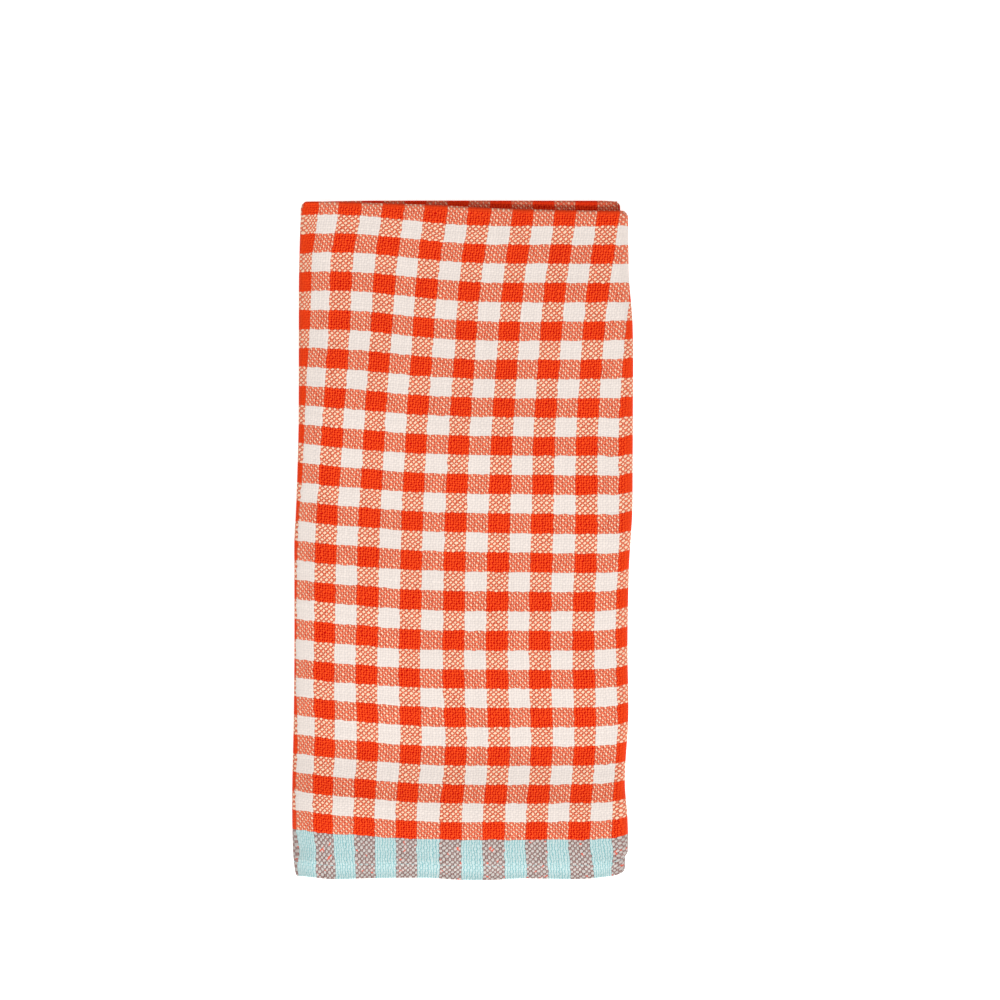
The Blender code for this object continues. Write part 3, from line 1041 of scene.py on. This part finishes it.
def stitch_points(points, away, rng):
    """Centre line, side and up directions of each stitch along one seam line."""
    length = np.concatenate([[0.0], np.cumsum(np.linalg.norm(np.diff(points, axis=0), axis=1))])
    t = np.linspace(0.0, 1.0, STITCH_RINGS)
    for start in np.arange(FIRST_STITCH, length[-1] - STITCH_LENGTH - LAST_STITCH, STITCH_EVERY):
        at = start + t * STITCH_LENGTH
        line, up = (np.stack([np.interp(at, length, track[:, k]) for k in range(3)], axis=-1)
                    for track in (points, away))
        along = np.gradient(line, axis=0)
        along /= np.linalg.norm(along, axis=1, keepdims=True)
        side = np.cross(up, along)
        side /= np.linalg.norm(side, axis=1, keepdims=True)
        up = np.cross(along, side)
        sway = rng.normal() * STITCH_SWAY + (t - 0.5) * rng.normal() * STITCH_SLANT
        rise = (STITCH_SINK + STITCH_RISE) * np.sin(np.pi * t) ** STITCH_ARCH - STITCH_SINK
        yield line + up * rise[:, None] + side * sway[:, None], side, up, at


def make_stitches(sheet):
    """Short lengths of sewing thread, each a small bent tube that dives into the cloth."""
    rng = np.random.default_rng(STITCH_SEED)
    around = np.arange(STITCH_SIDES) * 2 * np.pi / STITCH_SIDES
    thin = np.full(STITCH_RINGS, STITCH_RADIUS)
    thin[[0, -1]] *= STITCH_END_SHARE
    vertices, faces, maps = [], [], []
    count = 0
    for points, away in seam_lines(sheet):
        for line, side, up, at in stitch_points(points, away, rng):
            ring = (side[:, None] * np.cos(around)[None, :, None]
                    + up[:, None] * np.sin(around)[None, :, None])
            vertices.append((line[:, None] + ring * thin[:, None, None]).reshape(-1, 3))
            for k in range(STITCH_RINGS - 1):
                for m in range(STITCH_SIDES):
                    n = (m + 1) % STITCH_SIDES
                    a = count + k * STITCH_SIDES
                    faces.append((a + m, a + n, a + STITCH_SIDES + n, a + STITCH_SIDES + m))
                    low, high = m / STITCH_SIDES, (m + 1) / STITCH_SIDES
                    maps += [(at[k], low), (at[k], high), (at[k + 1], high), (at[k + 1], low)]
            last = count + (STITCH_RINGS - 1) * STITCH_SIDES
            faces.append(tuple(count + m for m in reversed(range(STITCH_SIDES))))
            faces.append(tuple(last + m for m in range(STITCH_SIDES)))
            maps += [(at[0], 0.0)] * STITCH_SIDES + [(at[-1], 0.0)] * STITCH_SIDES
            count += STITCH_RINGS * STITCH_SIDES
    mesh = bpy.data.meshes.new("hem_stitches")
    mesh.from_pydata(np.concatenate(vertices).tolist(), [], faces)
    layer = mesh.uv_layers.new(name="thread")
    layer.data.foreach_set("uv", (np.array(maps) * (THREAD_MAP_SCALE, 1.0)).ravel())
    mesh.shade_smooth()
    mesh.materials.append(sewing_thread("aqua_thread"))
    return add_object("hem_stitches", mesh)


def sewing_thread(name):
    material, tree, shader = new_material(name)
    along, turn = uv_axes(tree, "thread")
    ply = ((along * PLY_TURNS + turn) * (2 * math.pi)).sine() * 0.5 + 0.5
    fibre = noise(THREAD_FIBRES, along, turn)
    tone = THREAD_TONE + ply.root() * THREAD_TONE_PLY + fibre * THREAD_TONE_FIBRE
    colour = scale_colour(mix_colour(fibre, THREAD_COLOUR, THREAD_LIGHT), tone)
    tree.links.new(colour.socket, shader.inputs["Base Color"])
    add_bump(shader, ply + fibre * THREAD_FIBRE_RELIEF, THREAD_RELIEF_STRENGTH, THREAD_RELIEF)
    rough = THREAD_ROUGH + fibre * THREAD_ROUGH_FIBRE
    tree.links.new(rough.socket, shader.inputs["Roughness"])
    set_inputs(shader, Specular_IOR_Level=0.35, Sheen_Weight=0.10)
    return material


def make_cloth():
    sheet = Sheet()
    sheet.normal = sheet.normals()
    outer_offset, inner_offset = face_offsets(sheet)
    sheet.outer = sheet.point + sheet.normal * outer_offset[..., None]
    sheet.inner = sheet.point - sheet.normal * inner_offset[..., None]
    mesh = cloth_mesh("gingham_towel", sheet)
    mesh.materials.append(cotton("woven_cotton"))
    return add_object("gingham_towel", mesh), sheet


# ---------------------------------------------------------------------------
# Stage
# ---------------------------------------------------------------------------
VIEW_CENTRE = (0.0192, 0.0204)
VIEW_DISTANCE = 1.6
VIEW_WIDTH = 0.518
SEEN_LEVEL = 0.0084
SENSOR = 36.0
CLIP = (0.05, 20.0)
FLOOR_HALF = 3.0
FLOOR_LEVEL = -0.0001
FLOOR_COLOUR = (0.93, 0.93, 0.93, 1.0)
FLOOR_GLOW = 0.62
SKY_LIGHT = 0.62
SOFT_WHITE = (1.0, 1.0, 1.0, 1.0)
KEY_PLACE = (0.6, -3.2, 2.6)
KEY_SIZE = 1.0
KEY_WATTS = 165


def make_camera():
    data = bpy.data.cameras.new("camera")
    data.sensor_width = SENSOR
    data.lens = SENSOR * VIEW_DISTANCE / VIEW_WIDTH
    data.clip_start, data.clip_end = CLIP
    camera = add_object("camera", data)
    camera.location = (*VIEW_CENTRE, SEEN_LEVEL + VIEW_DISTANCE)
    bpy.context.scene.camera = camera


def make_floor():
    mesh = bpy.data.meshes.new("floor")
    corners = [(x * FLOOR_HALF, y * FLOOR_HALF, FLOOR_LEVEL)
               for x, y in ((-1, -1), (1, -1), (1, 1), (-1, 1))]
    mesh.from_pydata(corners, [], [(0, 1, 2, 3)])
    material, _, shader = new_material("floor_paper")
    set_inputs(shader, Base_Color=FLOOR_COLOUR, Emission_Color=SOFT_WHITE,
               Emission_Strength=FLOOR_GLOW, Roughness=0.9, Specular_IOR_Level=0.1)
    mesh.materials.append(material)
    floor = add_object("floor", mesh)


def make_light():
    """An even sky, and one broad lamp in front of the hems."""
    world = bpy.data.worlds.new("studio")
    world.use_nodes = True
    set_inputs(world.node_tree.nodes["Background"], Color=SOFT_WHITE, Strength=SKY_LIGHT)
    bpy.context.scene.world = world
    data = bpy.data.lights.new("key", "AREA")
    data.shape = "DISK"
    data.size = KEY_SIZE
    data.energy = KEY_WATTS
    light = add_object("key", data)
    light.location = KEY_PLACE
    light.rotation_mode = "QUATERNION"
    light.rotation_quaternion = (-Vector(KEY_PLACE)).to_track_quat("-Z", "Y")
    settings = bpy.context.scene.view_settings
    settings.view_transform = "Standard"
    settings.look = "None"


towel, sheet = make_cloth()
stitches = make_stitches(sheet)
make_floor()
make_camera()
make_light()

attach(towel, "root")
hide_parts("towel_cloth")
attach(stitches, "root")
